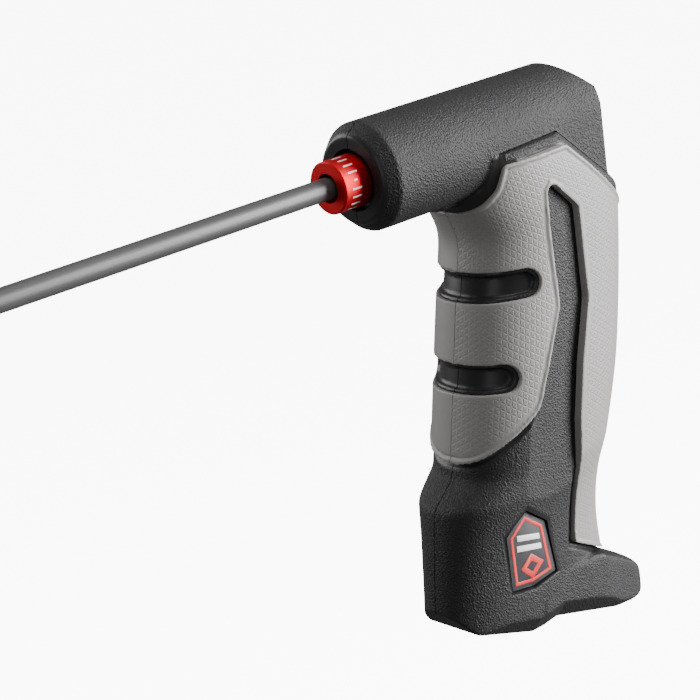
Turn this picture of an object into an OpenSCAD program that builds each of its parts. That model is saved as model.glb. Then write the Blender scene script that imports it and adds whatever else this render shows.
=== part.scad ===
// Pistol-grip swivel handle with a coated cleaning rod on two ball bearings.
// The origin is the centre of the collar's front face. The rod points along -X and the grip hangs down.

/* [Barrel] */
// Radius of the round barrel that holds the bearing cartridge
barrel_r = 13; // [12.6:0.1:16]
// Distance from the collar's front face to the flat nose of the barrel
nose_x = 7.5; // [5:0.5:8]
// Length of the barrel from its nose to its flat rear face
barrel_l = 71.8; // [59:0.2:90]
// Radius of the flat nose face, inside its chamfer
nose_face_r = 10.3; // [9.5:0.1:12]
// Length of the nose chamfer along the barrel
nose_chamfer_l = 3.5; // [1:0.5:6]
// How far the top of the rear face is cut back
rear_cut_l = 6.7; // [2:0.1:9]
// Height above the axis at which the rear cut ends
rear_cut_z = 0.5; // [0:0.5:5]

/* [Grip] */
// Height of the grip, from the barrel's axis down to the middle of its base
grip_h = 125; // [110:1:150]
// Depth of the grip from front to back, just below the barrel
grip_d = 54; // [48:1:62]
// Width of the grip across both rubber sides
grip_w = 36; // [30:1:44]
// Distance from the collar's front face to the front of the grip
grip_x = 34.6; // [32:0.2:40]
// Roundness of the grip's cross-section: 2 is an ellipse, more is squarer
grip_roundness = 2.4; // [2:0.1:3]
// Depth of bare plastic below the rubber surface
panel_depth = 1; // [0.5:0.1:1.5]
// Thickness of the rubber overmould
rubber_t = 2.5; // [1.8:0.1:3]
// Thickness of the plastic wall behind the rubber
wall = 2.5; // [2:0.1:3]
// Width of a finger groove
groove_w = 7.2; // [5:0.2:8]
// Radius of the heel's round tail, seen from above
heel_r = 8.5; // [7:0.5:11]

/* [Badge] */
// Thickness of the badge plate
badge_t = 0.9; // [0.6:0.1:1.2]
// Depth of the badge recess below the widest point of the grip beside it
badge_sink = 2.9; // [2.4:0.1:3.6]
// Gap between the badge plate and its recess
badge_gap = 0.3; // [0.1:0.1:0.6]

/* [Swivel] */
// Radius of the anodised collar
collar_r = 6.25; // [5.8:0.05:7.5]
// Length of the collar
collar_l = 8.4; // [6:0.2:8.8]
// Radius of the hole in the collar that the rod enters
collar_hole_r = 3.5; // [3.1:0.1:3.8]
// Depth of that hole, to the spindle's nose
collar_hole_l = 3.5; // [2:0.5:5]
// Clearance around the collar where it dips into the nose
collar_gap = 1.15; // [0.6:0.05:1.5]
// Radius of the spindle inside the bearings
spindle_r = 4; // [3.3:0.1:4.8]
// Outer radius of the ball bearings
bearing_r = 8; // [7:0.1:9.6]
// Width of a ball bearing
bearing_w = 5; // [4.2:0.1:6]
// Radius of one bearing ball
ball_r = 1.2; // [1:0.05:1.4]
// Number of balls in a bearing
ball_count = 9; // [7:1:9]
// Depth of the groove that the balls run in
track_depth = 0.15; // [0.1:0.05:0.3]
// Wall of the aluminium sleeve around the bearings
sleeve_wall = 1.5; // [1.2:0.1:2]

/* [Rod] */
// Radius of the coated rod
rod_r = 2.6; // [2.2:0.1:3.1]
// Thickness of the rod's coating
coat_t = 0.25; // [0.15:0.05:0.4]
// Length of coated rod ahead of the collar
rod_l = 190; // [100:5:900]
// Length of the plain tip ferrule
tip_l = 12; // [10:1:20]
// Radius of the tapped hole in the tip, at its tap drill size
tip_hole_r = 1.75; // [1.5:0.05:2]
// Depth of the tapped hole in the tip
tip_hole_l = 9; // [6:0.5:9.5]
// Radius of the threaded stud that joins the rod to the spindle
stud_r = 2; // [1.6:0.1:2]
// Length of the stud inside the spindle
stud_l = 11; // [8:0.5:16]

/* [Fasteners] */
// Radius of a shell screw's shank
screw_r = 1.5; // [1.2:0.1:1.8]
// Radius of a shell screw's head
screw_head_r = 2.75; // [2.4:0.05:3]
// Height of a shell screw's head
screw_head_h = 1.8; // [1.4:0.1:2.2]
// Distance from the parting plane to the seat of the screw heads
screw_seat_y = 7.5; // [6:0.5:7.5]
// How far a screw reaches past the parting plane
screw_reach = 8; // [6:0.5:8.5]

/* [Clearances] */
// Radial clearance of a piece that is seated in or on another
seat_gap = 0.02; // [0.01:0.01:0.05]
// Radial running clearance of the seal and the balls
run_gap = 0.05; // [0.03:0.01:0.1]

/* [Hidden] */
$fn = 64;

black = "#2b2b2d";
rubber = "#8f8c8b";
red = "#b3202a";
steel = "#b8bbc0";
far = 200;          // reach of a cutting block
sides = 40;         // points round one section of the grip

// Places along the axis, from the front of the swivel to its back
rear_x = nose_x + barrel_l;
rear_room = 19.8;   // behind the sleeve, for the spindle's nut and the rear screw
nose_wall = 2.7;
sleeve_x = nose_x + nose_wall + 0.1;
seal_l = 1;
lip_l = seal_l + 0.3;
front_bearing_x = sleeve_x + lip_l;
sleeve_end_x = rear_x - rear_room;
ring_l = 1;
ring_x = sleeve_end_x - 1.2 - ring_l;
ring_r = bearing_r + 0.5;
washer_l = 0.7;
stack_end_x = ring_x - washer_l;
rear_bearing_x = stack_end_x - bearing_w;
bearing_span = rear_bearing_x - front_bearing_x - bearing_w;
sleeve_r = bearing_r + seat_gap + sleeve_wall;
pitch_r = (spindle_r + bearing_r) / 2;
outer_shoulder_r = pitch_r + ball_r - track_depth;
inner_shoulder_r = pitch_r - ball_r + track_depth;
flange_r = inner_shoulder_r - 0.05;   // the spindle's flange, which the dust seal runs on
badge_floor_y = grip_w / 2 * 0.79 - badge_sink;
nut_l = 3;
spindle_end_x = stack_end_x + nut_l + 0.6;
thread_r = spindle_r - 0.5;
spindle_nose_r = collar_hole_r + 1;
stud_x = collar_l + 0.6;
tip_x = -rod_l;

// The grip's sections: height as a share of grip_h, then how far the front stands from grip_x,
// how far the back stands from grip_x + grip_d, and the half-width as a share of grip_w / 2
sections = [
    [-0.020, -3.9, -1.8, 0.93], [0.010, -3.8, -1.6, 0.95], [0.054, -1.9, -0.8, 0.97],
    [0.080, -0.7, -0.3, 0.978], [0.120, 0.0, 0.2, 0.978], [0.152, 2.0, 0.1, 0.978],
    [0.184, 3.4, -0.4, 0.978], [0.224, 2.4, -1.0, 0.978], [0.288, 0.3, -1.7, 0.978],
    [0.400, -2.6, -4.2, 1.0], [0.512, -5.6, -7.0, 1.0], [0.616, -8.3, -11.9, 0.989],
    [0.640, -12.6, -13.1, 0.983], [0.668, -15.6, -14.3, 0.972], [0.700, -16.4, -15.4, 0.910],
    [0.744, -17.2, -16.8, 0.845], [0.816, -18.7, -17.8, 0.790], [0.904, -20.2, -16.6, 0.761],
    [1.090, -23.6, -14.0, 0.722]
];

// The side-view outlines are drawn, [x, z], for a grip 125 high and 54 deep whose front is at x 34.6,
// and fitted to the sizes above
function fitted_x(x) = grip_x + (x - 34.6) * grip_d / 54;
function fitted_z(z) = z * grip_h / 125;
function fitted(points) = [for (p = points) [fitted_x(p[0]), fitted_z(p[1])]];

// Outline of the grip: its flat top, the slope behind the apex, and its stepped base
grip_outline = fitted([
    [0, -0.8], [61, -0.8], [79.3, -16.8], [95.3, -31.4], [95.3, -136],
    [76, -131], [70, -130.2], [48, -123.9], [43, -124.5],
    [39, -124.5], [21, -118.4], [14.5, -111], [0, -111]
]);

// Outline of the rubber: the front panel and the back strap, joined over the window
rubber_outline = fitted([
    [0, -15.6], [35.5, -15.2], [38.2, -13], [40.6, -9.8], [42.2, -4.2], [61, -3.4],
    [95.3, -33.5], [95.3, -128], [71.2, -114.4], [53.2, -104.5],
    [54.4, -88], [55.8, -71.7], [58.6, -57.3], [60.8, -49.7], [63, -42.3], [63, -19],
    [56, -12.2], [54.2, -11.6], [53.2, -13], [53.1, -41.3], [43.8, -63.6], [41.9, -65.3],
    [38.3, -66.9], [31.6, -72.4], [28.5, -75], [25, -77.4], [0, -77.4]
]);

// Finger grooves: where the middle of each runs, from the front to the centre of its round end
grooves = [fitted([[0, -34.7], [45.3, -33.9]]), fitted([[0, -56.3], [36.3, -55.8]])];

badge_outline = fitted([
    [36.8, -89.6], [43.6, -94.8], [46.4, -109.6], [38.4, -111], [31.4, -110], [30.4, -95]
]);
badge_flat = fitted([
    [36, -88.6], [44.4, -94.4], [47.4, -110.2], [38.6, -112], [29.2, -111], [28.6, -95.4]
]);

heel_tip_x = fitted_x(85.2);
heel_outline = fitted([
    [40, -110], [64, -112.6], [71, -116], [76.5, -119.6], [81, -123], [84, -126.3],
    [85.2, -128.6], [84.2, -130.4], [79, -131.2], [70, -130.2], [48, -123.9], [40, -124.2]
]);

// Centres of the five shell screws
screw_sites = concat(
    [[rear_x - 8.3, 5.5]],
    fitted([[54.5, -50], [46, -83], [25, -101], [60, -118]])
);

function power(v, e) = sign(v) * pow(abs(v), e);

// One ring of the grip, grown outwards by a distance or shrunk by a negative one
function ring(s, grow) =
    let (
        front = grip_x + s[1],
        back = grip_x + grip_d + s[2],
        half_d = (back - front) / 2 + grow,
        half_w = grip_w / 2 * s[3] + grow,
        e = 2 / grip_roundness
    )
    [for (i = [0 : sides - 1])
        let (a = 360 * i / sides)
        [(front + back) / 2 + half_d * power(cos(a), e), half_w * power(sin(a), e), -s[0] * grip_h]];

module grip_loft(grow, first = 0, last = len(sections) - 1) {
    rings = [for (k = [last : -1 : first]) ring(sections[k], grow)];
    count = len(rings);
    points = [for (r = rings) each r];
    walls = [for (j = [0 : count - 2], i = [0 : sides - 1])
        let (n = (i + 1) % sides)
        [j * sides + i, (j + 1) * sides + i, (j + 1) * sides + n, j * sides + n]];
    floor_face = [for (i = [0 : sides - 1]) i];
    roof_face = [for (i = [sides - 1 : -1 : 0]) (count - 1) * sides + i];
    polyhedron(points, concat([floor_face], walls, [roof_face]), convexity = 6);
}

// A side-view outline carried across the whole width, or from one distance to another on the left
module across() {
    rotate([90, 0, 0]) linear_extrude(2 * far, center = true) children();
}
module left_slab(near, out) {
    translate([0, -near, 0]) rotate([90, 0, 0]) linear_extrude(out - near) children();
}
module left_half() {
    translate([-far, -far, -far]) cube([2 * far, far, 2 * far]);
}

// Turned shapes about the rod's axis
module turned(outline) {
    rotate([0, 90, 0]) rotate_extrude() polygon(outline);
}
module tube(x, l, outer, inner) {
    turned([[inner, x], [outer, x], [outer, x + l], [inner, x + l]]);
}
module bar(x, l, r) {
    translate([x, 0, 0]) rotate([0, 90, 0]) cylinder(h = l, r = r);
}

module barrel_solid() {
    slope = (barrel_r - rear_cut_z) / rear_cut_l;
    slab_x = grip_x + 10.7;     // front of the flat-sided part that runs down into the grip
    slab_h = 22;
    difference() {
        union() {
            turned([
                [0, nose_x], [nose_face_r, nose_x], [barrel_r, nose_x + nose_chamfer_l],
                [barrel_r, rear_x], [0, rear_x]
            ]);
            translate([slab_x, -barrel_r, -slab_h]) cube([rear_x - slab_x, 2 * barrel_r, slab_h]);
        }
        across() polygon([
            [rear_x - rear_cut_l - 1, barrel_r + slope], [rear_x + 1, rear_cut_z - slope],
            [rear_x + 1, barrel_r + slope]
        ]);
    }
}

module groove_shape(g, w) {
    half = [0, w / 2];
    polygon([g[0] + half, g[1] + half, g[1] - half, g[0] - half]);
    translate(g[1]) circle(r = w / 2, $fn = 32);
}
module rubber_shape() {
    difference() {
        polygon(rubber_outline);
        for (g = grooves) groove_shape(g, groove_w);
    }
}

module grip_solid() {
    intersection() {
        union() {
            grip_loft(-rubber_t);
            difference() {
                grip_loft(-panel_depth);
                across() rubber_shape();
            }
        }
        across() polygon(grip_outline);
    }
}

module heel_solid() {
    intersection() {
        across() polygon(heel_outline);
        translate([0, 0, -far]) linear_extrude(far) union() {
            heel_w = grip_w / 3;
            tail_x = heel_tip_x - heel_r;
            polygon([
                [fitted_x(40), -heel_w], [fitted_x(62), -heel_w], [tail_x, -heel_r],
                [tail_x, heel_r], [fitted_x(62), heel_w], [fitted_x(40), heel_w]
            ]);
            translate([tail_x, 0]) circle(r = heel_r);
        }
    }
}

// The hollow inside both shells, less the screw bosses
module hollow() {
    boss_r = screw_head_r + 1;
    difference() {
        union() {
            intersection() {
                grip_loft(-rubber_t - wall, 4, 17);
                across() polygon(fitted([[0, -24], [90, -24], [90, -106], [0, -108]]));
            }
            intersection() {
                bar(rear_x - 15, 12.5, barrel_r - wall);
                across() polygon([
                    [rear_x - 16, barrel_r], [rear_x - rear_cut_l - wall, barrel_r],
                    [rear_x - wall, rear_cut_z], [rear_x - wall, -barrel_r], [rear_x - 16, -barrel_r]
                ]);
            }
        }
        for (s = screw_sites) translate([s[0], 0, s[1]]) rotate([90, 0, 0])
            cylinder(h = 60, r = boss_r, center = true);
    }
}

// The seats for the collar, the bearing sleeve and the spindle's nut
module swivel_bore() {
    bar(nose_x - 1, nose_wall + 1.1, collar_r + collar_gap);
    bar(sleeve_x - seat_gap, sleeve_end_x - sleeve_x + 2 * seat_gap, sleeve_r + seat_gap);
    bar(sleeve_end_x - 1, rear_room - 13, bearing_r - 0.5);
}

module left_body() {
    difference() {
        intersection() {
            union() {
                barrel_solid();
                grip_solid();
                heel_solid();
            }
            left_half();
        }
        hollow();
        swivel_bore();
        left_slab(badge_floor_y, 30) polygon(badge_flat);
    }
}

module left_shell() {
    color(black) difference() {
        left_body();
        for (s = screw_sites) translate([s[0], 1, s[1]]) rotate([90, 0, 0])
            cylinder(h = screw_reach + 1.5, r = screw_r + seat_gap);
    }
}

module right_shell() {
    color(black) difference() {
        mirror([0, 1, 0]) left_body();
        for (s = screw_sites) translate([s[0], -1, s[1]]) rotate([-90, 0, 0]) {
            cylinder(h = 12, r = screw_r + 0.2);
            translate([0, 0, screw_seat_y + 1]) cylinder(h = 30, r = screw_head_r + 0.2);
        }
    }
}

module left_overmould() {
    color(rubber) difference() {
        intersection() {
            grip_loft(0);
            across() rubber_shape();
            left_half();
        }
        grip_loft(-rubber_t);
        barrel_solid();
    }
}
module right_overmould() {
    mirror([0, 1, 0]) left_overmould();
}

module left_badge() {
    color(red) left_slab(badge_floor_y, badge_floor_y + badge_t) offset(delta = -badge_gap)
        polygon(badge_outline);
}
module right_badge() {
    mirror([0, 1, 0]) left_badge();
}

module shell_screws() {
    color(steel) for (s = screw_sites) translate([s[0], 0, s[1]]) rotate([-90, 0, 0]) {
        translate([0, 0, -screw_reach]) cylinder(h = screw_reach + screw_seat_y + 0.5, r = screw_r);
        difference() {
            translate([0, 0, screw_seat_y]) cylinder(h = screw_head_h, r = screw_head_r);
            translate([0, 0, screw_seat_y + screw_head_h - 1.2]) cylinder(h = 2, r = 1.2, $fn = 6);
        }
    }
}

module bearing_sleeve() {
    bore = bearing_r + seat_gap;
    color(steel) turned([
        [flange_r + 1.8, sleeve_x], [sleeve_r, sleeve_x], [sleeve_r, sleeve_end_x], [bore, sleeve_end_x],
        [bore, ring_x + ring_l], [ring_r + seat_gap, ring_x + ring_l], [ring_r + seat_gap, ring_x],
        [bore, ring_x], [bore, front_bearing_x], [flange_r + 1.8, front_bearing_x]
    ]);
}

module dust_seal() {
    color(black) tube(sleeve_x + 0.1, seal_l, flange_r + 1.8 - seat_gap, flange_r + run_gap);
}

// A race is a ring with a round track for the balls
module race(x, outer, inner) {
    color(steel) difference() {
        tube(x, bearing_w, outer, inner);
        rotate([0, 90, 0]) rotate_extrude() translate([pitch_r, x + bearing_w / 2])
            circle(r = ball_r + run_gap, $fn = 32);
    }
}
module outer_race(x) {
    race(x, bearing_r, outer_shoulder_r);
}
module inner_race(x) {
    race(x, inner_shoulder_r, spindle_r + seat_gap);
}
module each_ball(x) {
    for (k = [0 : ball_count - 1])
        translate([x + bearing_w / 2, 0, 0]) rotate([k * 360 / ball_count, 0, 0])
            translate([0, 0, pitch_r]) children();
}
module cage(x) {
    half_l = ball_r + 0.6;
    color("#c9a15a") difference() {
        tube(x + bearing_w / 2 - half_l, 2 * half_l, pitch_r + 0.5, pitch_r - 0.5);
        each_ball(x) sphere(r = ball_r + 2 * run_gap, $fn = 32);
    }
}
module balls(x) {
    color(steel) each_ball(x) sphere(r = ball_r, $fn = 32);
}

module front_outer_race() outer_race(front_bearing_x);
module front_inner_race() inner_race(front_bearing_x);
module front_cage() cage(front_bearing_x);
module front_balls() balls(front_bearing_x);
module rear_outer_race() outer_race(rear_bearing_x);
module rear_inner_race() inner_race(rear_bearing_x);
module rear_cage() cage(rear_bearing_x);
module rear_balls() balls(rear_bearing_x);

module outer_spacer() {
    color(steel) tube(front_bearing_x + bearing_w, bearing_span, bearing_r, outer_shoulder_r);
}
module inner_spacer() {
    color(steel) tube(front_bearing_x + bearing_w, bearing_span, inner_shoulder_r, spindle_r + seat_gap);
}
module wave_washer() {
    color(steel) tube(stack_end_x, washer_l, bearing_r - 0.1, outer_shoulder_r);
}
module retaining_ring() {
    color(steel) difference() {
        tube(ring_x, ring_l, ring_r, bearing_r - 1.1);
        translate([ring_x - 1, -1.5, 0]) cube([ring_l + 2, 3, ring_r + 1]);
    }
}

module spindle() {
    color(steel) difference() {
        turned([
            [0, collar_hole_l], [spindle_nose_r, collar_hole_l], [spindle_nose_r, collar_l],
            [flange_r, collar_l], [flange_r, front_bearing_x], [spindle_r, front_bearing_x],
            [spindle_r, stack_end_x], [thread_r, stack_end_x], [thread_r, spindle_end_x], [0, spindle_end_x]
        ]);
        bar(0, stud_x, rod_r - coat_t + run_gap);
        bar(0, stud_x + stud_l + 0.5, stud_r + run_gap);
    }
}
module spindle_nut() {
    color(steel) difference() {
        translate([stack_end_x, 0, 0]) rotate([0, 90, 0])
            cylinder(h = nut_l, r = spindle_r + 0.7, $fn = 6);
        bar(stack_end_x - 1, nut_l + 2, thread_r + seat_gap);
    }
}
module collar() {
    color(red) turned([
        [collar_hole_r, 0], [collar_r - 0.3, 0], [collar_r, 0.3], [collar_r, collar_l - 0.3],
        [collar_r - 0.3, collar_l], [spindle_nose_r + seat_gap, collar_l],
        [spindle_nose_r + seat_gap, collar_hole_l], [collar_hole_r, collar_hole_l]
    ]);
}

module rod() {
    shank_r = rod_r - coat_t;
    stud_bore_r = stud_r + seat_gap;
    color("#55565a") turned([
        [0, tip_x], [rod_r, tip_x], [rod_r, 0], [shank_r, 0], [shank_r, stud_x],
        [stud_bore_r, stud_x], [stud_bore_r, -6], [0, -6]
    ]);
}
module rod_stud() {
    color(steel) bar(-6, stud_x + stud_l + 6, stud_r);
}
module rod_tip() {
    core_r = rod_r - coat_t;
    color(steel) difference() {
        turned([
            [0, tip_x - tip_l], [core_r - 0.3, tip_x - tip_l], [core_r, tip_x - tip_l + 0.3],
            [core_r, tip_x], [0, tip_x]
        ]);
        bar(tip_x - tip_l - 1, tip_hole_l + 1, tip_hole_r);
    }
}

left_shell();
right_shell();
left_overmould();
right_overmould();
left_badge();
right_badge();
shell_screws();
bearing_sleeve();
dust_seal();
front_outer_race();
front_inner_race();
front_cage();
front_balls();
rear_outer_race();
rear_inner_race();
rear_cage();
rear_balls();
outer_spacer();
inner_spacer();
wave_washer();
retaining_ring();
spindle();
spindle_nut();
collar();
rod();
rod_stud();
rod_tip();
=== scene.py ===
import math
import bpy
import numpy as np
from mathutils import Euler, Matrix, Vector


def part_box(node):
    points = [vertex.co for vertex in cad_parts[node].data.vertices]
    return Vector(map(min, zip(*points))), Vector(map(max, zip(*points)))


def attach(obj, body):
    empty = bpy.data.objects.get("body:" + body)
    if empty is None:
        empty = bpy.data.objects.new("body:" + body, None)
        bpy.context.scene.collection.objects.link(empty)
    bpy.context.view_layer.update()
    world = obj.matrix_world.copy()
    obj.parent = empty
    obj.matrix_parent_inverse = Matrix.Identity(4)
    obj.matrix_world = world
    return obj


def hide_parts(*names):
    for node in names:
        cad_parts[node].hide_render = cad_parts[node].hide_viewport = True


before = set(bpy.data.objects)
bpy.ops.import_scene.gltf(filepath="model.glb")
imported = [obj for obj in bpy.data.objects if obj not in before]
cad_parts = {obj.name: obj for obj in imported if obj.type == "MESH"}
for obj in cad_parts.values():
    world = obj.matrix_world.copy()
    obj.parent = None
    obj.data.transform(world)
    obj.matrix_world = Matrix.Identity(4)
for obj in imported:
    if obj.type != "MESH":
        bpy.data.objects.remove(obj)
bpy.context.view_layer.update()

# The studio: a plain pale floor that fills the view, and a long lens that looks down at the handle from
# its left front. A big soft light stands low behind it on the left, with weak ones in front of it, above
# it and on its far side.
target = Vector((0, 0, -0.0387))
camera_distance = 0.5133
turn, rise, roll = math.radians(39.93), math.radians(17.57), math.radians(-7.88)
camera_away = Vector((-math.sin(turn) * math.cos(rise), -math.cos(turn) * math.cos(rise), math.sin(rise)))
bpy.ops.object.camera_add()
camera = bpy.context.object
camera.name = "studio_camera"
camera.data.lens = 113.87
camera.data.sensor_width = 36
look = (-camera_away).to_track_quat("-Z", "Y").to_matrix().to_4x4()
camera_place = Matrix.Translation(target + camera_away * camera_distance)
camera.matrix_world = camera_place @ look @ Matrix.Rotation(roll, 4, "Z")
bpy.context.scene.camera = camera


def soft_light(name, place, width, height, watts):
    """A soft box that faces the middle of the handle"""
    bpy.ops.object.light_add(type="AREA", location=place)
    lamp = bpy.context.object
    lamp.name = name
    lamp.data.shape = "RECTANGLE"
    lamp.data.size = width
    lamp.data.size_y = height
    lamp.data.energy = watts
    lamp.rotation_euler = (Vector((0.04, 0, -0.05)) - Vector(place)).to_track_quat("-Z", "Y").to_euler()


soft_light("back_softbox", (0.70, -0.58, 0.13), 0.5, 0.8, 39)
soft_light("front_softbox", (-0.60, -0.35, 0.15), 0.3, 0.6, 0.9)
soft_light("top_softbox", (0.0, -0.1, 0.75), 0.4, 0.5, 3)
soft_light("far_softbox", (-0.2, 0.6, 0.2), 0.5, 0.5, 4)

world = bpy.data.worlds.new("studio_air")
bpy.context.scene.world = world
world.use_nodes = True
air = world.node_tree.nodes["Background"]
air.inputs["Color"].default_value = (1, 1, 1, 1)
air.inputs["Strength"].default_value = 0.20

bpy.ops.mesh.primitive_plane_add(size=12, location=(0, 0, -0.32))
floor = bpy.context.object
floor.name = "studio_floor"
floor.visible_diffuse = False
floor.visible_glossy = False
floor.visible_shadow = False
paper = bpy.data.materials.new("floor_paper")
paper.use_nodes = True
paper_shader = paper.node_tree.nodes["Principled BSDF"]
paper_shader.inputs["Base Color"].default_value = (0.9, 0.9, 0.9, 1)
paper_shader.inputs["Roughness"].default_value = 0.9
paper_shader.inputs["Emission Color"].default_value = (1, 1, 1, 1)
paper_shader.inputs["Emission Strength"].default_value = 9
floor.data.materials.append(paper)

# The handle's two black half shells: moulded glass-filled nylon, leather grained outside and smooth on
# the nose, in the finger grooves and round the rubber. Each half is one moulding, and the right one is
# the left one's mirror image with the five screw holes.
nose_x, nose_l, nose_r = 7.5, 3.5, 10.3
rear_x, barrel_r = 79.3, 13.0
grip_x, grip_d, grip_w, grip_h = 34.6, 54.0, 36.0, 125.0
squareness = 2.4
rubber_t, wall_t = 2.5, 2.5
# how far each surface lies inside the grip's full form
crown_sunk, rim_sunk, panel_sunk, strip_sunk, dip_sunk = 0.6, 0.9, 1.0, 1.6, 2.0
# the wall round the top of the rubber: its width, its radius over the barrel and the dark line outside it
crown_w, crown_r, shadow_w = 2.5, 13.7, 0.35
shell_gap, shell_step, mould_over = 0.12, 0.42, 1.2
boss_r, pilot_r, shank_r, head_r = 3.75, 1.52, 1.7, 2.95
nose_hole_r, sleeve_seat_r, nut_pocket_r = 7.4, 9.54, 7.5
# height as a share of grip_h, front from grip_x, back from grip_x + grip_d, share of the half width
sections = [
    (-0.020, -3.9, -1.8, 0.93), (0.010, -3.8, -1.6, 0.95), (0.054, -1.9, -0.8, 0.97),
    (0.080, -0.7, -0.3, 0.978), (0.120, 0.0, 0.2, 0.978), (0.152, 2.0, 0.1, 0.978),
    (0.184, 3.4, -0.4, 0.978), (0.224, 2.4, -1.0, 0.978), (0.288, 0.3, -1.7, 0.978),
    (0.400, -2.6, -4.2, 1.0), (0.512, -5.6, -7.0, 1.0), (0.616, -8.3, -11.9, 0.989),
    (0.642, -9.0, -13.1, 0.983), (0.649, -9.7, -13.4, 0.980), (0.688, -15.7, -15.0, 0.938),
    (0.698, -16.4, -15.4, 0.915),
    (0.744, -17.2, -16.8, 0.845), (0.816, -18.7, -17.8, 0.790), (0.904, -20.2, -16.6, 0.761),
    (1.090, -23.6, -14.0, 0.722),
]
below_crown = [(-30, -3.4), (61, -3.4), (95.3, -33.5), (110, -46), (110, -170), (-30, -170)]
foot_outline = [
    (-30, 30), (-30, -111), (14.5, -111), (21, -118.4), (39, -124.5), (43, -124.5), (48, -123.9),
    (70, -130.1), (79, -130.95), (110, -130.95), (110, 30),
]
rubber_outline = [
    (0, -15.6), (35.5, -15.2), (38.2, -13), (40.6, -9.8), (42.2, -4.2), (61, -3.4), (95.3, -33.5),
    (95.3, -128), (71.2, -114.4), (53.2, -104.5), (54.4, -88), (55.8, -71.7), (58.6, -57.3),
    (60.8, -49.7), (63, -42.3), (63, -19), (56, -12.2), (54.2, -11.6), (53.2, -13), (53.1, -41.3),
    (43.8, -63.6), (42.3, -65.6), (38.6, -68.4), (35.2, -70.6), (31.6, -72.9), (28.4, -75.2),
    (25, -77.4), (0, -77.4),
]
groove_ends = [((0, -34.7), (45.3, -33.9)), ((0, -56.3), (36.3, -55.8))]
groove_w = 7.2
badge_outline = [(36.8, -89.6), (43.6, -94.8), (46.4, -109.6), (38.4, -111), (31.4, -110), (30.4, -95)]
badge_floor_y, badge_t = 11.3, 1.4
heel_outline = [
    (40, -110), (64, -112.6), (71, -116), (76.5, -119.6), (81, -123), (84, -126.3), (85.2, -128.6),
    (84.2, -130.3), (79, -131), (70, -130.1), (48, -123.9), (40, -124.2),
]
screw_sites = [(71, 5.5), (54.5, -50), (46, -83), (25, -101), (60, -118)]


def alone(piece):
    """Only this piece is selected"""
    bpy.ops.object.select_all(action="DESELECT")
    piece.select_set(True)
    bpy.context.view_layer.objects.active = piece


def open_up(piece):
    """Edit mode with nothing but this piece, all of it selected"""
    alone(piece)
    bpy.ops.object.mode_set(mode="EDIT")
    bpy.ops.mesh.select_all(action="SELECT")


def close_up(piece):
    """Leaves edit mode, with every face turned outwards"""
    bpy.ops.mesh.select_all(action="SELECT")
    bpy.ops.mesh.normals_make_consistent(inside=False)
    bpy.ops.object.mode_set(mode="OBJECT")
    return piece


def worked(piece, kind, **settings):
    """A modifier with these settings, applied"""
    alone(piece)
    modifier = piece.modifiers.new("work", kind)
    for name, value in settings.items():
        setattr(modifier, name, value)
    bpy.ops.object.modifier_apply(modifier="work")
    return piece


def join_with(piece, tool, how):
    """UNION, DIFFERENCE or INTERSECT with a tool, which is used up"""
    worked(piece, "BOOLEAN", object=tool, operation=how, solver="MANIFOLD")
    bpy.data.objects.remove(tool)
    return piece


def section_size(section, grow):
    """The middle, half depth, half width and height of one of the grip's sections"""
    share, front, back, width = section
    front_x, back_x = grip_x + front, grip_x + grip_d + back
    return (front_x + back_x) / 2, (back_x - front_x) / 2 + grow, grip_w / 2 * width + grow, -share * grip_h


def grip_form(grow):
    """The hand-shaped body of the grip, grown or shrunk by so many millimetres"""
    middle, half_d, half_w, z = section_size(sections[0], grow)
    bpy.ops.mesh.primitive_circle_add(vertices=48, radius=1)
    form = bpy.context.object
    for corner in form.data.vertices:
        x, y = corner.co.x, corner.co.y
        squared_x = math.copysign(abs(x) ** (2 / squareness), x)
        squared_y = math.copysign(abs(y) ** (2 / squareness), y)
        corner.co = (middle + half_d * squared_x, half_w * squared_y, z)
    open_up(form)
    bpy.ops.mesh.edge_face_add()
    bpy.ops.mesh.select_mode(type="FACE")
    for section in sections[1:]:
        next_middle, next_d, next_w, next_z = section_size(section, grow)
        bpy.ops.mesh.extrude_region_move(
            TRANSFORM_OT_translate={"value": (next_middle - middle, 0, next_z - z)})
        bpy.ops.transform.resize(
            value=(next_d / half_d, next_w / half_w, 1), center_override=(next_middle, 0, next_z))
        middle, half_d, half_w, z = next_middle, next_d, next_w, next_z
    close_up(form)
    return worked(form, "SUBSURF", levels=2, render_levels=2)


def widened(outline, by):
    """The same outline with every side moved outwards, or inwards by a negative distance"""
    count = len(outline)
    turning = sum(a[0] * b[1] - b[0] * a[1] for a, b in zip(outline, outline[1:] + outline[:1]))
    by = math.copysign(1, turning) * by
    moved = []
    for k, (x, z) in enumerate(outline):
        before = Vector(outline[k]) - Vector(outline[k - 1])
        after = Vector(outline[(k + 1) % count]) - Vector(outline[k])
        side_1 = Vector((before.y, -before.x)).normalized()
        side_2 = Vector((after.y, -after.x)).normalized()
        corner = (side_1 + side_2) / (1 + side_1.dot(side_2))
        moved.append((x + by * corner.x, z + by * corner.y))
    return moved


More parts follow.
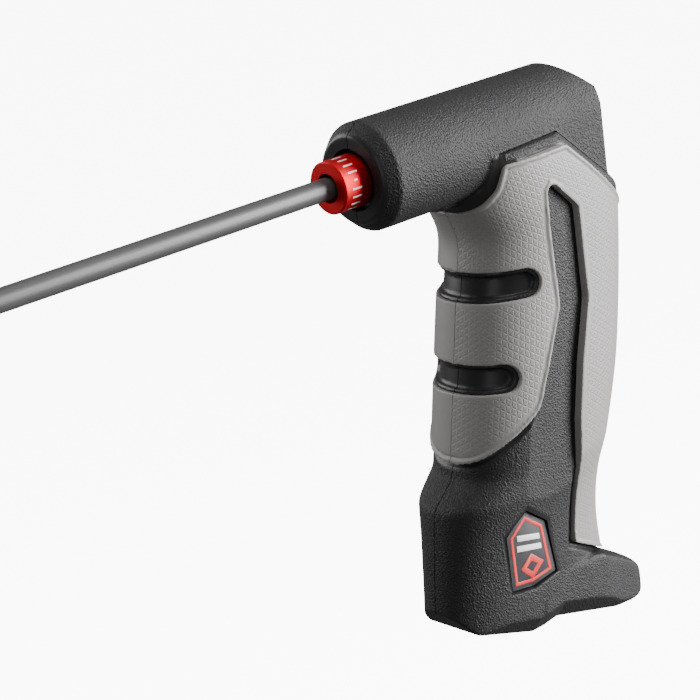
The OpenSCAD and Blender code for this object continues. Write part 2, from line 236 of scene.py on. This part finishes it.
def plate(outline, near, out, rounded=0.0, taper=None):
    """A side-view outline cut from thick stock, from one distance to another left of the middle.
    taper is (how far its edge draws in, over which thickness) beyond that. A plate from -30 to 30
    or more goes right through the handle."""
    bpy.ops.mesh.primitive_circle_add(vertices=len(outline), fill_type="NGON")
    stock = bpy.context.object
    for corner, (x, z) in zip(stock.data.vertices, outline):
        corner.co = (x, -near, z)
    open_up(stock)
    if rounded:
        bpy.ops.mesh.bevel(offset=rounded, segments=4, affect="VERTICES", clamp_overlap=True)
        bpy.ops.mesh.select_all(action="SELECT")
    bpy.ops.mesh.select_mode(type="FACE")
    bpy.ops.mesh.extrude_region_move(TRANSFORM_OT_translate={"value": (0, near - out, 0)})
    if taper:
        bpy.ops.mesh.normals_make_consistent(inside=False)
        bpy.ops.mesh.inset(thickness=taper[0], depth=taper[1], use_even_offset=True)
    return close_up(stock)


def slot_outline(ends, width):
    """A slot with a round end, from the grip's front to the middle of that end"""
    start, end = ends
    arc = [math.radians(90 - 15 * k) for k in range(13)]
    nose = [(end[0] + width / 2 * math.cos(a), end[1] + width / 2 * math.sin(a)) for a in arc]
    return [(start[0], start[1] + width / 2)] + nose + [(start[0], start[1] - width / 2)]


def bar(x, length, radius, around=64):
    """A round bar on the rod's axis"""
    bpy.ops.mesh.primitive_cylinder_add(
        vertices=around, radius=radius, depth=length, location=(x + length / 2, 0, 0),
        rotation=(0, math.pi / 2, 0))
    stock = bpy.context.object
    bpy.ops.object.transform_apply(location=True, rotation=True, scale=True)
    return stock


def cross_pin(site, near, far, radius, around=32):
    """A round pin across the handle at a screw's place, from y near to y far"""
    bpy.ops.mesh.primitive_cylinder_add(
        vertices=around, radius=radius, depth=far - near,
        location=(site[0], (near + far) / 2, site[1]), rotation=(math.pi / 2, 0, 0))
    pin = bpy.context.object
    bpy.ops.object.transform_apply(location=True, rotation=True, scale=True)
    return pin


def twin(piece, name):
    """A second piece of the same shape, with a mesh of its own"""
    alone(piece)
    bpy.ops.object.duplicate()
    copy = bpy.context.object
    copy.name = name
    return copy


def mirrored(piece, name):
    """The right side's piece, the mirror image of the left one's"""
    image = twin(piece, name)
    bpy.ops.transform.mirror(constraint_axis=(False, True, False), center_override=(0, 0, 0))
    bpy.ops.object.transform_apply(location=True, rotation=True, scale=True)
    open_up(image)
    return close_up(image)


def left_half(piece, gap):
    """Keeps what lies left of the handle's middle, less half the gap of the parting line"""
    return join_with(piece, plate([(-50, 60), (150, 60), (150, -170), (-50, -170)], gap, 60), "INTERSECT")


def moulded(piece, step, rounds):
    """The soft edges that a mould gives: skinned afresh with an even mesh and rubbed down"""
    worked(piece, "REMESH", mode="VOXEL", voxel_size=step)
    return worked(piece, "SMOOTH", factor=0.5, iterations=rounds)


def to_metres(piece, name):
    """Millimetres become metres, and the piece gets its name"""
    open_up(piece)
    bpy.ops.transform.resize(value=(0.001, 0.001, 0.001), center_override=(0, 0, 0))
    bpy.ops.object.mode_set(mode="OBJECT")
    piece.name = name
    piece.data.name = name
    alone(piece)
    bpy.ops.object.shade_smooth_by_angle(angle=math.radians(40))
    return piece


def edge_distance(outline, x, z):
    """How far points are from an outline, negative inside it"""
    nearest = np.full(len(x), 1e9)
    inside = np.zeros(len(x), bool)
    for (ax, az), (bx, bz) in zip(outline, outline[1:] + outline[:1]):
        along = ((x - ax) * (bx - ax) + (z - az) * (bz - az)) / ((bx - ax) ** 2 + (bz - az) ** 2)
        along = np.clip(along, 0, 1)
        nearest = np.minimum(nearest, np.hypot(x - ax - along * (bx - ax), z - az - along * (bz - az)))
        if az != bz:
            crossing = (az > z) != (bz > z)
            inside ^= crossing & (x < (bx - ax) * (z - az) / (bz - az) + ax)
    return np.where(inside, -nearest, nearest)


def places(piece):
    """The corners of a mesh in millimetres, as x, distance from the middle and z"""
    flat = np.zeros(3 * len(piece.data.vertices), np.float32)
    piece.data.vertices.foreach_get("co", flat)
    x, y, z = flat.reshape(-1, 3).T * 1000
    return x, y, z


def paint(piece, name, amounts):
    """Stores one number for each corner of the mesh, which a material reads"""
    layer = piece.data.attributes.new(name, "FLOAT", "POINT")
    layer.data.foreach_set("value", amounts.astype(np.float32))


# -- the barrel, with its chamfered nose and the roof cut down behind
barrel = bar(nose_x + nose_l, rear_x - nose_x - nose_l, barrel_r, 128)
open_up(barrel)
bpy.ops.mesh.select_all(action="DESELECT")
bpy.ops.object.mode_set(mode="OBJECT")
for face in barrel.data.polygons:
    face.select = face.normal.x < -0.9
bpy.ops.object.mode_set(mode="EDIT")
bpy.ops.mesh.select_mode(type="FACE")
bpy.ops.mesh.extrude_region_move(TRANSFORM_OT_translate={"value": (-nose_l, 0, 0)})
bpy.ops.transform.resize(value=(1, nose_r / barrel_r, nose_r / barrel_r), center_override=(nose_x, 0, 0))
close_up(barrel)
bpy.ops.mesh.primitive_cube_add(size=1, location=(62.3, 0, -11))
flank = bpy.context.object
bpy.ops.transform.resize(value=(34, 2 * barrel_r, 22))
bpy.ops.object.transform_apply(location=True, rotation=True, scale=True)
join_with(barrel, flank, "UNION")
open_up(barrel)
bpy.ops.mesh.bisect(plane_co=(72.6, 0, 13), plane_no=(12.5, 0, 6.7), use_fill=True, clear_outer=True)
close_up(barrel)

# -- the grip: a core under the rubber, a sunk edge strip beside it and a raised grained panel
shell = grip_form(-rubber_t)
strip = join_with(grip_form(-strip_sunk), plate(rubber_outline, -30, 30, 1.0), "DIFFERENCE")
join_with(shell, strip, "UNION")
panel = join_with(grip_form(-panel_sunk), plate(widened(rubber_outline, 1.5), -30, 30, 0.8), "DIFFERENCE")
join_with(shell, panel, "UNION")
for ends in groove_ends:
    rim_stock = plate(slot_outline(ends, groove_w + 0.4), -30, 30)
    join_with(shell, join_with(grip_form(-rim_sunk), rim_stock, "INTERSECT"), "UNION")
for ends in groove_ends:
    dip = plate(slot_outline(ends, groove_w - 2.0), -30, 30)
    join_with(dip, grip_form(-dip_sunk), "DIFFERENCE")
    join_with(shell, dip, "DIFFERENCE")
join_with(shell, plate(below_crown, -30, 30), "INTERSECT")

# -- the crown: a sloped black wall that stands up from the barrel round the top of the rubber
crown = grip_form(-crown_sunk)
join_with(crown, bar(nose_x + 10, rear_x - nose_x + 6, crown_r, 128), "UNION")
crown_stock = plate(widened(rubber_outline, crown_w), -14.4, 14.4, 0.8, (2.3, 1.8))
rear_slope = [(-10, 20), (38.9, 20), (97.3, -31.2), (97.3, -70), (-10, -70)]
join_with(crown_stock, plate(rear_slope, -13, 13, 0, (2.8, 3.2)), "INTERSECT")
join_with(crown, crown_stock, "INTERSECT")
crown_zone = [(30, 5), (100, 5), (100, -27), (78, -27), (60, -9), (46, -9), (44, -17), (30, -17)]
join_with(crown, plate(crown_zone, -30, 30), "INTERSECT")
join_with(shell, crown, "UNION")

# -- the heel: a tail with a round end, its top edge well rounded
heel = plate(widened(heel_outline, 1.1), -13, 13, 1.5)
tail_side = [(40, 12.8), (60, 12.6), (66, 12.0), (72, 10.5)]
tail_end = [math.radians(20 * k) for k in range(10)]
tail_plan = tail_side + [(76.7 + 9.3 * math.sin(a), 9.3 * math.cos(a)) for a in tail_end]
tail_plan += [(x, -y) for x, y in reversed(tail_side)]
bpy.ops.mesh.primitive_circle_add(vertices=len(tail_plan), fill_type="NGON")
tail = bpy.context.object
for corner, (x, y) in zip(tail.data.vertices, tail_plan):
    corner.co = (x, y, -105)
open_up(tail)
bpy.ops.mesh.select_mode(type="FACE")
bpy.ops.mesh.extrude_region_move(TRANSFORM_OT_translate={"value": (0, 0, -30)})
close_up(tail)
join_with(heel, tail, "INTERSECT")
moulded(heel, 0.7, 26)
join_with(shell, heel, "UNION")
join_with(shell, plate(foot_outline, -12, 9.2, 0, (8, 6)), "INTERSECT")
join_with(shell, barrel, "UNION")
left_half(shell, -mould_over)
moulded(shell, shell_step, 2)
left_half(shell, shell_gap)

# -- what is cut after moulding, because its edges are sharp: the dark line outside the crown, the recess
shadow_line = plate(widened(rubber_outline, crown_w + shadow_w), -30, 30, 0.8)
join_with(shadow_line, plate(widened(rubber_outline, crown_w), -40, 40, 0.8), "DIFFERENCE")
shadow_zone = [(42, 3), (82, 3), (82, -21), (76, -21), (60, -7), (42, -7)]
join_with(shadow_line, plate(shadow_zone, -50, 50), "INTERSECT")
join_with(shadow_line, plate([(0, 40), (120, 40), (120, -60), (0, -60)], -12.5, 12.5), "DIFFERENCE")
join_with(shell, shadow_line, "DIFFERENCE")
badge_centre = Vector((38.4, -badge_floor_y, -100.5))


def leaned(piece):
    """Leans a badge tool over so that it lies along the tapering side of the grip"""
    lean = Euler((math.radians(4.2), 0, math.radians(-3.2))).to_matrix().to_4x4()
    piece.matrix_world = Matrix.Translation(badge_centre) @ lean @ Matrix.Translation(-badge_centre)
    alone(piece)
    bpy.ops.object.transform_apply(location=True, rotation=True, scale=True)
    return piece


join_with(shell, leaned(plate(widened(badge_outline, 0.2), badge_floor_y, 30, 0.3)), "DIFFERENCE")

# -- what is cut inside: the hollow grip round its screw bosses, the seats of the swivel
inside = grip_form(-rubber_t - wall_t)
join_with(inside, plate([(0, -24), (90, -24), (90, -106), (0, -108)], -30, 30), "INTERSECT")
under_roof = plate([(63.3, 13), (70.1, 13), (76.8, 0.5), (76.8, -13), (63.3, -13)], -30, 30)
join_with(inside, join_with(under_roof, bar(rear_x - 15, 12.5, barrel_r - wall_t), "INTERSECT"), "UNION")
for site in screw_sites:
    join_with(inside, cross_pin(site, -30, 30, boss_r), "DIFFERENCE")
join_with(inside, bar(nose_x - 1, 3.8, nose_hole_r, 96), "UNION")
join_with(inside, bar(10.28, 49.24, sleeve_seat_r, 96), "UNION")
join_with(inside, bar(58.5, 6.8, nut_pocket_r), "UNION")

right_shell = mirrored(shell, "right_shell_moulding")
join_with(shell, twin(inside, "left_inside"), "DIFFERENCE")
join_with(right_shell, inside, "DIFFERENCE")
for site in screw_sites:
    join_with(shell, cross_pin(site, -8.5, 1, pilot_r), "DIFFERENCE")
    join_with(right_shell, cross_pin(site, -1, 10, shank_r), "DIFFERENCE")
    join_with(right_shell, cross_pin(site, 7.5, 40, head_r), "DIFFERENCE")

# -- where the leather grain is: it starts away from the rubber, the nose's edge and the badge
badge_edge = widened(badge_outline, 0.6)
below_crown_margin, front_margin, back_margin = 1.7, 2.5, 0.6
for piece, name, node in (
        (shell, "left_grip_half", "left_shell"),
        (right_shell, "right_grip_half", "right_shell")):
    to_metres(piece, name)
    x, y, z = places(piece)
    from_rubber = edge_distance(rubber_outline, x, z)
    margin = np.where(z < -22, below_crown_margin, np.where(x < 43, front_margin, back_margin))
    grain = (from_rubber - margin) / 0.3
    on_barrel = (np.hypot(y, z) < barrel_r + 0.15) & (x < 45)
    grain = np.where(on_barrel, 1, grain)
    grain = np.minimum(grain, (x - nose_x - 0.5) / 0.5)
    grain = np.minimum(grain, (edge_distance(badge_edge, x, z) - 0.1) / 0.4)
    paint(piece, "grain", np.clip(grain, 0, 1))
    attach(piece, "housing")
    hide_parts(node)


def blank_material(name, colour, roughness, metallic=0.0):
    """A material with its plain values on the shader's own sockets"""
    material = bpy.data.materials.new(name)
    material.use_nodes = True
    shader = material.node_tree.nodes["Principled BSDF"]
    shader.inputs["Base Color"].default_value = (*colour, 1)
    shader.inputs["Roughness"].default_value = roughness
    shader.inputs["Metallic"].default_value = metallic
    return material, shader


def add_node(material, kind, links=None, **settings):
    """A node with these settings and input values, or what is linked to them"""
    node = material.node_tree.nodes.new(kind)
    for name, value in settings.items():
        setattr(node, name, value)
    for socket, value in (links or {}).items():
        if isinstance(value, bpy.types.NodeSocket):
            material.node_tree.links.new(value, node.inputs[socket])
        else:
            node.inputs[socket].default_value = value
    return node


def ramp(material, source, low, high, from_value, to_value):
    """Turns a range of one value into a range of another"""
    return add_node(material, "ShaderNodeMapRange", {
        0: source, 1: low, 2: high, 3: from_value, 4: to_value}).outputs[0]


def put(material, piece):
    """The piece gets this one material"""
    piece.data.materials.clear()
    piece.data.materials.append(material)


nylon, nylon_shader = blank_material("black_nylon", (0.012, 0.012, 0.013), 0.5)
nylon_shader.inputs["Specular IOR Level"].default_value = 0.30
where = add_node(nylon, "ShaderNodeTexCoord").outputs["Object"]
grain_amount = add_node(nylon, "ShaderNodeAttribute", attribute_name="grain").outputs["Fac"]
pebbles = add_node(nylon, "ShaderNodeTexVoronoi", {
    "Vector": where, "Scale": 2300.0, "Smoothness": 0.5, "Randomness": 1.0},
    feature="SMOOTH_F1").outputs["Distance"]
creases = add_node(nylon, "ShaderNodeTexNoise", {
    "Vector": where, "Scale": 1900.0, "Detail": 3.0, "Roughness": 0.6}).outputs["Fac"]
hide = add_node(nylon, "ShaderNodeMath", {0: pebbles, 1: creases}, operation="MULTIPLY").outputs[0]
hide_height = add_node(nylon, "ShaderNodeMath", {0: hide, 1: grain_amount}, operation="MULTIPLY").outputs[0]
bump = add_node(nylon, "ShaderNodeBump", {"Height": hide_height, "Strength": 1.0, "Distance": 0.0004})
nylon.node_tree.links.new(bump.outputs[0], nylon_shader.inputs["Normal"])
gloss = ramp(nylon, grain_amount, 0, 1, 0.32, 0.60)
blotches = add_node(nylon, "ShaderNodeTexNoise", {
    "Vector": where, "Scale": 60.0, "Detail": 4.0}).outputs["Fac"]
gloss_change = ramp(nylon, blotches, 0.3, 0.7, -0.04, 0.05)
gloss_total = add_node(nylon, "ShaderNodeMath", {0: gloss, 1: gloss_change}, operation="ADD").outputs[0]
nylon.node_tree.links.new(gloss_total, nylon_shader.inputs["Roughness"])
put(nylon, shell)
put(nylon, right_shell)

# The grey overmoulds: soft rubber moulded on to each shell, with a raised bead round the edge, a fine
# groove inside it and a pattern of small triangles for grip. They stand out over the finger grooves.
pad_sunk, pad_round, cuff_r = 0.3, 1.2, 14.3
bead_w, gutter_w, gutter_deep = 0.75, 0.4, 0.75
pad_gap, pad_step = 0.1, 0.29
pad = join_with(grip_form(-pad_sunk), plate(rubber_outline, -30, 30, pad_round), "INTERSECT")
# the stretch of edge inside the notch, which has neither bead nor groove
plain_edge = [
    (57.5, -9), (66, -17), (66, -43), (62, -58), (58.5, -72), (57, -88), (56, -102), (50, -102), (51, -72),
    (57.5, -43), (57.5, -18),
]
bead = plate(rubber_outline, -30, 30, pad_round)
join_with(bead, plate(widened(rubber_outline, -bead_w), -40, 40, 0.6), "DIFFERENCE")
join_with(bead, plate(plain_edge, -50, 50), "DIFFERENCE")
join_with(bead, grip_form(0), "INTERSECT")
join_with(pad, bead, "UNION")
gutter = plate(widened(rubber_outline, -bead_w), -30, 30, 0.6)
join_with(gutter, plate(widened(rubber_outline, -bead_w - gutter_w), -40, 40, 0.5), "DIFFERENCE")
join_with(gutter, plate(plain_edge, -50, 50), "DIFFERENCE")
join_with(gutter, grip_form(-gutter_deep), "DIFFERENCE")
join_with(pad, gutter, "DIFFERENCE")
for ends in groove_ends:
    join_with(pad, plate(slot_outline(ends, groove_w), -40, 40), "DIFFERENCE")
neck_cuff = bar(nose_x + 10, rear_x - nose_x + 6, cuff_r, 128)
join_with(neck_cuff, plate(rubber_outline, -30, 30, pad_round), "INTERSECT")
join_with(neck_cuff, plate([(30, 5), (70, 5), (50, -9), (30, -9)], -30, 30), "INTERSECT")
join_with(pad, neck_cuff, "UNION")
left_half(pad, -1.0)
moulded(pad, pad_step, 2)
left_half(pad, pad_gap)
join_with(pad, grip_form(-rubber_t), "DIFFERENCE")
join_with(pad, bar(nose_x, rear_x - nose_x + 0.5, barrel_r, 128), "DIFFERENCE")
right_pad = mirrored(pad, "right_pad_moulding")


def round_the_grip(x, y, z):
    """How far round the grip a point is from its front, in millimetres on a middling section"""
    usual_d, usual_w = 26.5, 17.7
    heights = [grip_h * section[0] for section in sections]
    sizes = np.array([section_size(section, 0) for section in sections])
    middle = np.interp(-z, heights, sizes[:, 0])
    half_d = np.interp(-z, heights, sizes[:, 1])
    half_w = np.interp(-z, heights, sizes[:, 2])
    deep, wide = (x - middle) / half_d, np.abs(y) / half_w
    power = squareness / 2
    turned = np.arctan2(wide ** power, -np.sign(deep) * np.abs(deep) ** power)
    steps = np.linspace(0, np.pi, 361)
    across = -usual_d * np.sign(np.cos(steps)) * np.abs(np.cos(steps)) ** (1 / power)
    out = usual_w * np.sin(steps) ** (1 / power)
    travelled = np.concatenate([[0], np.cumsum(np.hypot(np.diff(across), np.diff(out)))])
    return np.interp(turned, steps, travelled)


edge_margin, slot_margin, tread_fade = 1.6, 0.7, 0.3
for piece, name, node in (
        (pad, "left_grip_rubber", "left_overmould"),
        (right_pad, "right_grip_rubber", "right_overmould")):
    to_metres(piece, name)
    x, y, z = places(piece)
    tread = (-edge_distance(rubber_outline, x, z) - edge_margin) / tread_fade
    for ends in groove_ends:
        from_slot = edge_distance(slot_outline(ends, groove_w), x, z)
        tread = np.minimum(tread, (from_slot - slot_margin) / tread_fade)
    if piece is right_pad:
        tread = np.minimum(tread, (y - 9) / tread_fade)
    paint(piece, "tread", np.clip(tread, 0, 1))
    paint(piece, "wrap", round_the_grip(x, y, z))
    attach(piece, "housing")
    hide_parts(node)

rubber, rubber_shader = blank_material("grey_rubber", (0.212, 0.202, 0.198), 0.50)
where = add_node(rubber, "ShaderNodeTexCoord").outputs["Object"]
height_z = add_node(rubber, "ShaderNodeSeparateXYZ", {0: where}).outputs["Z"]
wrap = add_node(rubber, "ShaderNodeAttribute", attribute_name="wrap").outputs["Fac"]
tread_amount = add_node(rubber, "ShaderNodeAttribute", attribute_name="tread").outputs["Fac"]
triangle_h = 1.45
nearest_line = None
for angle in (0, 60, -60):
    along = add_node(rubber, "ShaderNodeMath", {
        0: wrap, 1: math.cos(math.radians(angle)) / triangle_h}, operation="MULTIPLY").outputs[0]
    place = add_node(rubber, "ShaderNodeMath", {
        0: height_z, 1: 1000 * math.sin(math.radians(angle)) / triangle_h, 2: along},
        operation="MULTIPLY_ADD").outputs[0]
    line = add_node(rubber, "ShaderNodeMath", {0: place, 1: 0.5}, operation="PINGPONG").outputs[0]
    if nearest_line is not None:
        line = add_node(rubber, "ShaderNodeMath", {0: nearest_line, 1: line}, operation="MINIMUM").outputs[0]
    nearest_line = line
facet = ramp(rubber, nearest_line, 0.02, 0.2, 0, 1)
tread_height = add_node(rubber, "ShaderNodeMath", {
    0: facet, 1: tread_amount}, operation="MULTIPLY").outputs[0]
fine_skin = add_node(rubber, "ShaderNodeTexNoise", {
    "Vector": where, "Scale": 3500.0, "Detail": 2.0}).outputs["Fac"]
skin_height = add_node(rubber, "ShaderNodeMath", {
    0: fine_skin, 1: 0.12, 2: tread_height}, operation="MULTIPLY_ADD").outputs[0]
tread_bump = add_node(rubber, "ShaderNodeBump", {"Height": skin_height, "Strength": 1.0, "Distance": 0.00006})
rubber.node_tree.links.new(tread_bump.outputs[0], rubber_shader.inputs["Normal"])
put(rubber, pad)
put(rubber, right_pad)

# The two badges: a dark nylon plate clipped in a flat recess of each half, with a red border line and a
# plain device of two white bars over a red lozenge, printed a little proud of it.
badge_print = [
    ("red", widened(badge_outline, -1.3), widened(badge_outline, -2.15)),
    ("white", [(34.0, -95.6), (41.3, -97.4), (41.5, -98.9), (34.0, -97.2)], None),
    ("white", [(33.8, -98.4), (41.7, -100.2), (41.9, -101.7), (33.8, -100.0)], None),
    ("red", [(38.3, -101.9), (42.4, -105.3), (38.5, -108.9), (34.6, -105.1)],
     [(38.3, -103.9), (40.3, -105.3), (38.5, -107.0), (36.6, -105.2)]),
]


def skin_material(name, colour, roughness, grain_scale, grain_depth, metallic=0.0, squeeze=(1, 1, 1)):
    """A finished surface: fine skin in the bump and a slow change of gloss, stretched along one axis"""
    material, shader = blank_material(name, colour, roughness, metallic)
    place = add_node(material, "ShaderNodeTexCoord").outputs["Object"]
    place = add_node(material, "ShaderNodeMapping", {"Vector": place, "Scale": squeeze}).outputs[0]
    skin = add_node(material, "ShaderNodeTexNoise", {
        "Vector": place, "Scale": grain_scale, "Detail": 3.0}).outputs["Fac"]
    skin_bump = add_node(material, "ShaderNodeBump", {
        "Height": skin, "Strength": 1.0, "Distance": grain_depth})
    material.node_tree.links.new(skin_bump.outputs[0], shader.inputs["Normal"])
    slow = add_node(material, "ShaderNodeTexNoise", {
        "Vector": place, "Scale": grain_scale / 12, "Detail": 2.0}).outputs["Fac"]
    gloss = ramp(material, slow, 0.3, 0.7, roughness - 0.05, roughness + 0.07)
    material.node_tree.links.new(gloss, shader.inputs["Roughness"])
    shade = add_node(material, "ShaderNodeMix", {
        0: ramp(material, slow, 0.35, 0.65, 0, 1),
        6: (*[0.86 * part for part in colour], 1), 7: (*colour, 1)}, data_type="RGBA").outputs[2]
    material.node_tree.links.new(shade, shader.inputs["Base Color"])
    return material


badge_nylon = skin_material("badge_nylon", (0.035, 0.034, 0.038), 0.42, 2500, 0.00003)
badge_red = skin_material("badge_red_ink", (0.62, 0.035, 0.03), 0.4, 2500, 0.00002)
badge_white = skin_material("badge_white_ink", (0.78, 0.78, 0.78), 0.4, 2500, 0.00002)
ink = {"red": badge_red, "white": badge_white}
badge_face_y = badge_floor_y + badge_t
left_badge = plate(widened(badge_outline, -0.12), badge_floor_y, badge_face_y, 0.3)
worked(left_badge, "BEVEL", width=0.12, segments=3, limit_method="ANGLE")
put(badge_nylon, left_badge)
for colour, outline, hole in badge_print:
    mark = plate(outline, badge_face_y - 0.1, badge_face_y + 0.06)
    if hole:
        join_with(mark, plate(hole, badge_floor_y, 20), "DIFFERENCE")
    worked(mark, "BEVEL", width=0.04, segments=2, limit_method="ANGLE")
    put(ink[colour], mark)
    bpy.ops.object.select_all(action="DESELECT")
    mark.select_set(True)
    left_badge.select_set(True)
    bpy.context.view_layer.objects.active = left_badge
    bpy.ops.object.join()
leaned(left_badge)
right_badge = mirrored(left_badge, "right_badge_plate")
for piece, name, node in (
        (left_badge, "left_badge_plate", "left_badge"),
        (right_badge, "right_badge_plate", "right_badge")):
    to_metres(piece, name)
    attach(piece, "housing")
    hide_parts(node)

# The collar: turned aluminium, anodised red, pressed on the spindle's nose. Its front face keeps the
# turning marks and a ring of white index marks is printed round it.
collar_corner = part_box("collar")[1]
collar_r, collar_l = collar_corner.z * 1000, collar_corner.x * 1000
edge_break, bore_r, spindle_seat_r = 0.35, 3.5, 4.52
# its faces are 2 degrees wide: a mark of two faces starts every 9 of them, and every fifth is a dot
collar_faces, mark_pitch, dot_pitch = 180, 9, 5
stops = [edge_break, 2.2, 3.1, 4.0, 4.9, collar_l - edge_break]
bpy.ops.mesh.primitive_circle_add(
    vertices=collar_faces, radius=collar_r - edge_break, fill_type="NGON", rotation=(0, -math.pi / 2, 0))
collar = bpy.context.object
bpy.ops.object.transform_apply(location=True, rotation=True, scale=True)
open_up(collar)
bpy.ops.mesh.select_mode(type="FACE")
wide = collar_r / (collar_r - edge_break)
bpy.ops.mesh.extrude_region_move(TRANSFORM_OT_translate={"value": (stops[0], 0, 0)})
bpy.ops.transform.resize(value=(1, wide, wide), center_override=(stops[0], 0, 0))
for start, stop in zip(stops, stops[1:]):
    bpy.ops.mesh.extrude_region_move(TRANSFORM_OT_translate={"value": (stop - start, 0, 0)})
bpy.ops.mesh.extrude_region_move(TRANSFORM_OT_translate={"value": (edge_break, 0, 0)})
bpy.ops.transform.resize(value=(1, 1 / wide, 1 / wide), center_override=(collar_l, 0, 0))
close_up(collar)
anodised, anodised_shader = blank_material("red_anodising", (0.52, 0.011, 0.018), 0.56, 1.0)
where = add_node(anodised, "ShaderNodeTexCoord").outputs["Object"]
apart = add_node(anodised, "ShaderNodeSeparateXYZ", {0: where})
flat_place = add_node(anodised, "ShaderNodeCombineXYZ", {
    1: apart.outputs["Y"], 2: apart.outputs["Z"]}).outputs[0]
radius = add_node(anodised, "ShaderNodeVectorMath", {0: flat_place}, operation="LENGTH").outputs["Value"]
rings = add_node(anodised, "ShaderNodeMath", {0: radius, 1: 22000.0}, operation="MULTIPLY").outputs[0]
rings = add_node(anodised, "ShaderNodeMath", {0: rings}, operation="SINE").outputs[0]
tool_marks = add_node(anodised, "ShaderNodeTexNoise", {
    "Vector": add_node(anodised, "ShaderNodeMapping", {"Vector": where, "Scale": (1, 0.02, 0.02)}).outputs[0],
    "Scale": 9000.0, "Detail": 2.0}).outputs["Fac"]
marks = add_node(anodised, "ShaderNodeMath", {
    0: rings, 1: 0.5, 2: tool_marks}, operation="MULTIPLY_ADD").outputs[0]
ring_bump = add_node(anodised, "ShaderNodeBump", {"Height": marks, "Strength": 0.6, "Distance": 0.000012})
anodised.node_tree.links.new(ring_bump.outputs[0], anodised_shader.inputs["Normal"])
collar_ink = skin_material("collar_white_ink", (0.85, 0.84, 0.83), 0.45, 3000, 0.00002)
collar.data.materials.append(anodised)
collar.data.materials.append(collar_ink)
for face in collar.data.polygons:
    x, y, z = face.center
    step = int(round(math.degrees(math.atan2(z, y)) % 360 * collar_faces / 360 - 0.5))
    on_mark = step % mark_pitch in (0, 1)
    as_dot = step // mark_pitch % dot_pitch == dot_pitch - 1
    rows = (stops[2], stops[3]) if as_dot else (stops[1], stops[4])
    face.material_index = 1 if on_mark and rows[0] < x < rows[1] else 0
join_with(collar, bar(-1, 4.5, bore_r, 96), "DIFFERENCE")
join_with(collar, bar(3.5, 6, spindle_seat_r, 96), "DIFFERENCE")
to_metres(collar, "red_collar")
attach(collar, "rotor")
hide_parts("collar")

# The rod, its tip and its stud: drawn steel with a grey low-friction coat, a bare turned ferrule at the
# front end and a threaded stud that screws into the spindle.
rod_coat = skin_material("graphite_rod_coat", (0.075, 0.073, 0.074), 0.42, 2600, 0.00002, 0.25, (0.03, 1, 1))
tip_steel = skin_material("bare_tip_steel", (0.55, 0.55, 0.56), 0.26, 2600, 0.00001, 1.0, (1, 0.05, 0.05))
put(rod_coat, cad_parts["rod"])
put(tip_steel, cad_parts["rod_tip"])
put(tip_steel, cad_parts["rod_stud"])

# The swivel inside the barrel: a steel spindle in two ball bearings, held in a black anodised sleeve by a
# wave washer and a ring, with a rubber seal in front. The five shell screws are blackened steel.
finishes = {
    "turned_steel": (("spindle", "spindle_nut"), (0.50, 0.50, 0.51), 0.30, 1.0),
    "bearing_steel": ((
        "front_outer_race", "front_inner_race", "rear_outer_race", "rear_inner_race", "front_balls",
        "rear_balls"), (0.62, 0.62, 0.63), 0.16, 1.0),
    "spacer_steel": (("outer_spacer", "inner_spacer"), (0.45, 0.45, 0.46), 0.35, 1.0),
    "cage_brass": (("front_cage", "rear_cage"), (0.60, 0.43, 0.17), 0.34, 1.0),
    "spring_steel": (("wave_washer", "retaining_ring"), (0.20, 0.20, 0.22), 0.38, 1.0),
    "sleeve_aluminium": (("bearing_sleeve",), (0.04, 0.04, 0.043), 0.42, 0.9),
    "seal_rubber": (("dust_seal",), (0.012, 0.012, 0.013), 0.55, 0.0),
    "blackened_screw": (("shell_screws",), (0.035, 0.035, 0.038), 0.38, 0.8),
}
for name, (nodes, colour, roughness, metallic) in finishes.items():
    finish = skin_material(name, colour, roughness, 2400, 0.000015, metallic, (1, 0.15, 0.15))
    for node in nodes:
        put(finish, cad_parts[node])
